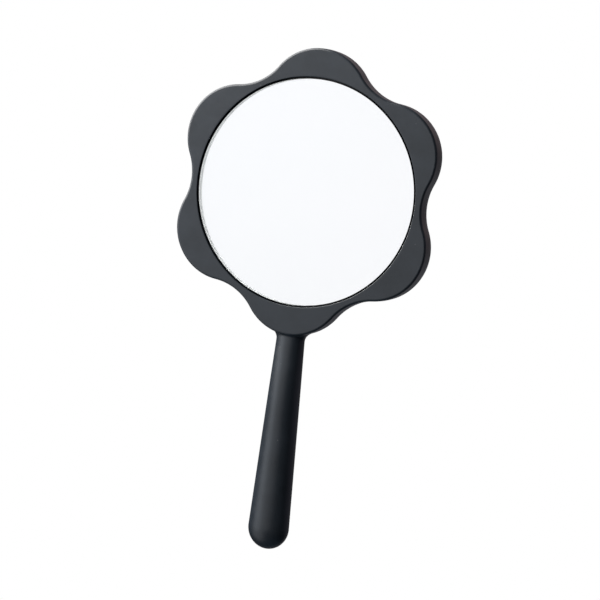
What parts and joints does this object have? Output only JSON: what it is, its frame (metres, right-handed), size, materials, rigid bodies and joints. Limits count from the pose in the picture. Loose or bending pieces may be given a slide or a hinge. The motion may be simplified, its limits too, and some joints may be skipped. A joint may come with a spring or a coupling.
{
  "type": "hand mirror",
  "caption": "Hand mirror: round glass mirror set in a flower-shaped moulded frame on a tapering oval handle with a round end.",
  "frame": {"origin": "on the handle's axis, in the shells' parting plane, half way along the handle, where the hand holds it", "axes": "+Z along the handle towards the head, +X to the right seen from the front, -Y out of the reflecting face, +Y out of the back"},
  "size_m": [0.1304, 0.0131, 0.2499],
  "materials": {
    "charcoal_plastic": "satin, fine moulded grain",
    "clear_glass": "polished faces, ground edge",
    "silvering": "reflecting",
    "backing_paint": "matte paint film",
    "foam_tape": "closed-cell foam"
  },
  "bodies": {
    "root": {"front_shell": "charcoal_plastic", "back_shell": "charcoal_plastic", "mirror_glass": "clear_glass", "silver_film": "silvering", "backing_paint": "backing_paint", "foam_tape_1": "foam_tape", "foam_tape_2": "foam_tape", "foam_tape_3": "foam_tape", "foam_tape_4": "foam_tape"}
  },
  "joints": []
}
